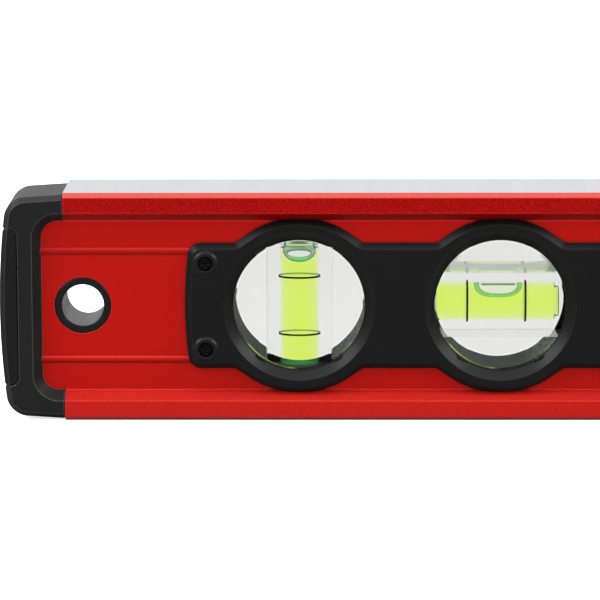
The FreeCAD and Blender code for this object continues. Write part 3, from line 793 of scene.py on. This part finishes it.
def long_bubble_material(window):
    """Painted light and shade: a broad green glowing lip curving under a pale clear outlook, with a
    fine dark painted stroke along its top.
    """
    material, g = new_material("bubble_" + window)
    offset, along, across = bubble_coordinates(g, window)
    low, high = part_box(window + "_bubble")
    half_length = (high.x - low.x) / 2
    depth = high.z - low.z
    below_top = g.math("SUBTRACT", across, depth / 2)

    def oval(inset, softness):
        half_sizes = (half_length - inset, depth - inset)
        return inside_oval(g, along, below_top, *half_sizes, softness, FULLNESS)

    ripple = g.noise(offset, 900.0, 2.0, 0.6)
    colour = g.mix(g.ramp(ripple, 0.35, 0.65), rgb(0.22, 0.52, 0.25), rgb(0.38, 0.74, 0.42))
    # Painted glow: a bright band between a darker outer rim and a darker inner band.
    colour = g.mix(oval(0.25 * MM, 0.08), rgb(0.17, 0.40, 0.22), colour)
    inner_lip_painted_shade = g.math("MULTIPLY", oval(0.8 * MM, 0.12), 0.6)
    colour = g.mix(inner_lip_painted_shade, colour, rgb(0.15, 0.38, 0.18))
    outlook = oval(1.15 * MM, 0.10)
    # Painted shade: a fine dark stroke along the top, fading at the ends.
    ends = g.ramp(g.math("ABSOLUTE", along), 4.2 * MM, 3.6 * MM, smooth=True)
    painted_dark_stroke = g.math("MULTIPLY", band(g, below_top, -0.36 * MM, 0.32 * MM), ends)
    colour = g.mix(g.math("MINIMUM", outlook, painted_dark_stroke), colour, rgb(0.03, 0.04, 0.06))
    shown = g.math("MULTIPLY", outlook, g.inverse(g.math("MULTIPLY", painted_dark_stroke, 0.95)))
    rise = (low.z + high.z) / 2 - window_centre(window).z
    bubble_surface(g, shown, colour, g.math("ADD", across, rise))
    return material


# ---------------------------------------------------------------- vial pieces


def mesh_piece(name, body, material, matrix):
    vertices, faces = body
    mesh = bpy.data.meshes.new(name)
    mesh.from_pydata([tuple(matrix @ Vector(v)) for v in vertices], [], faces)
    bm = bmesh.new()
    bm.from_mesh(mesh)
    bmesh.ops.remove_doubles(bm, verts=bm.verts, dist=1e-7)
    bmesh.ops.recalc_face_normals(bm, faces=bm.faces)
    bm.to_mesh(mesh)
    bm.free()
    mesh.shade_smooth()
    mesh.materials.append(material)
    piece = bpy.data.objects.new(name, mesh)
    bpy.context.scene.collection.objects.link(piece)
    return piece


def closed_body(poles, rings):
    """Vertices and faces of a closed body, from its two end points and the rings between them."""
    steps = len(rings[0])
    vertices = list(poles)
    for ring in rings:
        vertices += ring
    last = len(vertices) - steps
    faces = []
    for step in range(steps):
        after = (step + 1) % steps
        faces.append((0, 2 + after, 2 + step))
        faces.append((1, last + step, last + after))
        for a in range(2, last, steps):
            b = a + steps
            faces.append((a + step, a + after, b + after, b + step))
    return vertices, faces


def lathe(profile):
    """A closed body turned about local X, from (along, radius) pairs."""
    rings = []
    for along, radius in profile:
        ring = []
        for step in range(LATHE_STEPS):
            angle = 2 * math.pi * step / LATHE_STEPS
            ring.append((along, radius * math.cos(angle), radius * math.sin(angle)))
        rings.append(ring)
    return closed_body([(profile[0][0], 0, 0), (profile[-1][0], 0, 0)], rings)


def arc_points(centre, radii, start, end, steps):
    """Points on an ellipse's arc, from start to end degrees."""
    points = []
    for step in range(steps + 1):
        angle = math.radians(start + (end - start) * step / steps)
        across = centre[0] + radii[0] * math.cos(angle)
        up = centre[1] + radii[1] * math.sin(angle)
        points.append((across, up))
    return points


def fluid_piece(window):
    """The whole body of fluid, rounded at the closed end, with a tip in the plug's recess."""
    low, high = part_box("level_vial_fluid")
    radius = (high.y - low.y) / 2
    start = low.x
    end = high.x
    inner = radius - FLUID_CORNER
    profile = [(start, inner * share) for share in (0.35, 0.7)]
    corner = (FLUID_CORNER, FLUID_CORNER)
    profile += arc_points((start + FLUID_CORNER, inner), corner, 180, 90, CORNER_STEPS)
    lip = end - PLUG_RIM
    profile += [(lip - PLUG_RIM_EDGE, radius), (lip, radius - PLUG_RIM_EDGE)]
    profile += [(lip, PLUG_RECESS_RADIUS)]
    turn = PLUG_RECESS_CORNER
    inner = PLUG_RECESS_RADIUS - turn
    profile += arc_points((end - turn, inner), (turn, turn), 90, 0, 6)
    profile += [(end, inner * 0.5)]
    name = window + "_fluid_body"
    piece = mesh_piece(name, lathe(profile), fluid_material(window), vial_matrix(window))
    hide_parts(window + "_vial_fluid")
    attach(piece, "level")


def round_bubble(window):
    """An upright vial's bubble: narrow in the plug's recess, wide below it and round beneath."""
    half, radius = round_bubble_size()
    shoulder = 0.2 * half
    lip = half - 0.9 * PLUG_RIM
    neck = PLUG_RECESS_RADIUS - AIR_GAP
    turn = AIR_TOP_CORNER
    top = neck - turn
    profile = arc_points((shoulder, 0), (half + shoulder, radius), 180, 90, 28)[1:]
    profile += arc_points((shoulder, neck), (lip - shoulder, radius - neck), 90, 10, 10)[1:]
    profile += arc_points((half - turn, top - turn), (turn, turn), 80, 0, CORNER_STEPS)
    profile += [(half, top * 0.5)]
    low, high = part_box(window + "_bubble")
    matrix = vial_matrix(window)
    matrix.translation = (low + high) / 2
    return mesh_piece(window + "_air", lathe(profile), round_bubble_material(window), matrix)


def long_bubble_section(ceiling, width, sag, fullness):
    """One cross-section, as (across, up) points: a roof along the chamber, a sagging floor."""
    reach = width * fullness
    depth = sag * fullness
    side = ceiling - (ceiling - math.sqrt(ceiling**2 - width**2)) * fullness
    points = []
    for step in range(LONG_BUBBLE_STEPS):
        angle = 2 * math.pi * step / LONG_BUBBLE_STEPS
        across = reach * math.cos(angle)
        rise = math.sin(angle)
        roof = math.sqrt(ceiling**2 - across**2)
        if rise >= 0:
            up = side + (roof - side) * rise**ROOF_BULGE
        else:
            up = side - (side - ceiling + depth) * (-rise) ** FLOOR_BULGE
        points.append((across, up))
    return points


def long_bubble(window):
    """The level vial's bubble: it hugs the top of the chamber and sags in the middle."""
    low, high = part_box(window + "_bubble")
    fluid_low, fluid_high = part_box(window + "_vial_fluid")
    half_length = (high.x - low.x) / 2
    ceiling = (fluid_high.y - fluid_low.y) / 2 - CEILING_GAP
    sag = high.z - low.z
    width = LONG_BUBBLE_WIDTH * ceiling
    rings = []
    for ring in range(1, LONG_BUBBLE_RINGS):
        share = -math.cos(math.pi * ring / LONG_BUBBLE_RINGS)
        fullness = (1 - abs(share) ** FULLNESS) ** (1 / FULLNESS)
        section = long_bubble_section(ceiling, width, sag, fullness)
        rings.append([(share * half_length, across, up) for across, up in section])
    body = closed_body([(-half_length, 0, ceiling), (half_length, 0, ceiling)], rings)
    matrix = vial_matrix(window)
    middle = (low + high) / 2
    matrix.translation = Vector((middle.x, middle.y, window_centre(window).z))
    return mesh_piece(window + "_air", body, long_bubble_material(window), matrix)


def make_bubble(window):
    lies_flat = abs(vial_joint(window)["axis"][0]) > 0.99
    piece = long_bubble(window) if lies_flat else round_bubble(window)
    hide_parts(window + "_bubble")
    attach(piece, window + "_bubble")


# ---------------------------------------------------------------- studio


def floor_material():
    """A pale floor, a little dimmer through the windows, and dimmer still as a source of light."""
    material, g = new_material("studio_floor")
    mottle = g.noise(g.geometry("Position"), 9.0, 3.0, 0.5)
    pale = g.mix(mottle, grey(0.90), grey(0.93))
    tone = g.mix(g.is_ray("Transmission"), grey(FLOOR_BOUNCE), grey(FLOOR_THROUGH))
    floor = g.principled(
        Base_Color=g.mix(g.is_ray("Camera"), tone, pale),
        Roughness=0.9,
        Specular_IOR_Level=0.1,
        Emission_Color=WHITE,
        Emission_Strength=g.math("MULTIPLY", g.is_ray("Camera"), FLOOR_GLOW),
    )
    surface(g, floor)
    return material


def make_floor():
    """A wide, flat, pale floor."""
    size = FLOOR_SIZE
    mesh = bpy.data.meshes.new("studio_floor")
    corners = [(-size, -size, 0), (size, -size, 0), (size, size, 0), (-size, size, 0)]
    mesh.from_pydata(corners, [], [(0, 1, 2, 3)])
    mesh.materials.append(floor_material())
    floor = bpy.data.objects.new("studio_floor", mesh)
    bpy.context.scene.collection.objects.link(floor)


def make_world():
    """Soft studio surroundings: bright above and behind, dim on the camera's side."""
    world = bpy.data.worlds.new("studio")
    bpy.context.scene.world = world
    world.use_nodes = True
    g = Graph(world.node_tree)
    direction = g.add("ShaderNodeTexCoord").outputs["Generated"]
    _, y, z = g.split(direction)[:3]
    behind = g.ramp(y, -0.6, 0.35, smooth=True)
    above = g.ramp(z, 0.15, 0.85, smooth=True)
    strength = g.between(g.math("MAXIMUM", behind, above), WORLD_FRONT, WORLD_BRIGHT)
    background = g.add("ShaderNodeBackground", {"Color": WHITE, "Strength": strength})
    g.add("ShaderNodeOutputWorld", {"Surface": background.outputs[0]})


def area_light(name, place, size, energy):
    """A rectangular light that faces the middle of the level."""
    light = bpy.data.lights.new(name, "AREA")
    light.shape = "RECTANGLE"
    light.size = size[0]
    light.size_y = size[1]
    light.energy = energy
    lamp = bpy.data.objects.new(name, light)
    lamp.location = place
    lamp.rotation_mode = "QUATERNION"
    lamp.rotation_quaternion = (CENTRE - Vector(place)).to_track_quat("-Z", "Y")
    bpy.context.scene.collection.objects.link(lamp)


def make_lights():
    area_light(*OVERHEAD_LIGHT)
    for side in (-1, 1):
        for name, (x, y, z), size, energy in PAIRED_LIGHTS:
            area_light(name, (side * x, y, z), size, energy)


def make_camera():
    data = bpy.data.cameras.new("camera")
    data.sensor_width = CAMERA_SENSOR
    data.lens = CAMERA_LENS
    data.clip_start, data.clip_end = CAMERA_CLIP
    level_ahead = Vector((math.sin(CAMERA_YAW), math.cos(CAMERA_YAW), 0))
    ahead = math.cos(CAMERA_PITCH) * level_ahead - Vector((0, 0, math.sin(CAMERA_PITCH)))
    level_right = Vector((math.cos(CAMERA_YAW), -math.sin(CAMERA_YAW), 0))
    level_up = level_right.cross(ahead)
    right = math.cos(CAMERA_ROLL) * level_right + math.sin(CAMERA_ROLL) * level_up
    up = math.cos(CAMERA_ROLL) * level_up - math.sin(CAMERA_ROLL) * level_right
    camera = bpy.data.objects.new("camera", data)
    turn = Matrix((right, up, -ahead)).transposed().to_4x4()
    camera.matrix_world = Matrix.Translation(CENTRE + CAMERA_OFFSET) @ turn
    bpy.context.scene.collection.objects.link(camera)
    bpy.context.scene.camera = camera


# ---------------------------------------------------------------- assembly


def paint(names, material):
    for name in names:
        mesh = nodes[name].data
        mesh.materials.clear()
        mesh.materials.append(material)


def main():
    sleeves = sleeve_plastic()
    paint(["beam"], red_anodised())
    paint(["front_cover", "rear_cover"], cover_plastic())
    paint(["hang_bush_front", "hang_bush_rear"], bush_plastic())
    paint(["end_cap_left", "end_cap_right"], cap_plastic())
    paint(["bumper_left", "bumper_right"], bumper_rubber())
    paint(["cover_screws"], black_oxide())
    for window in WINDOWS:
        paint([window + "_sleeve"], sleeves)
        paint([window + "_lens_front", window + "_lens_rear"], lens_material(window))
        paint([window + "_vial_block", window + "_vial_plug"], block_material(window))
        paint([window + "_vial_lines"], reading_line(window))
        fluid_piece(window)
        make_bubble(window)
    make_floor()
    make_world()
    make_lights()
    make_camera()
    bpy.context.scene.view_settings.view_transform = "Standard"


main()
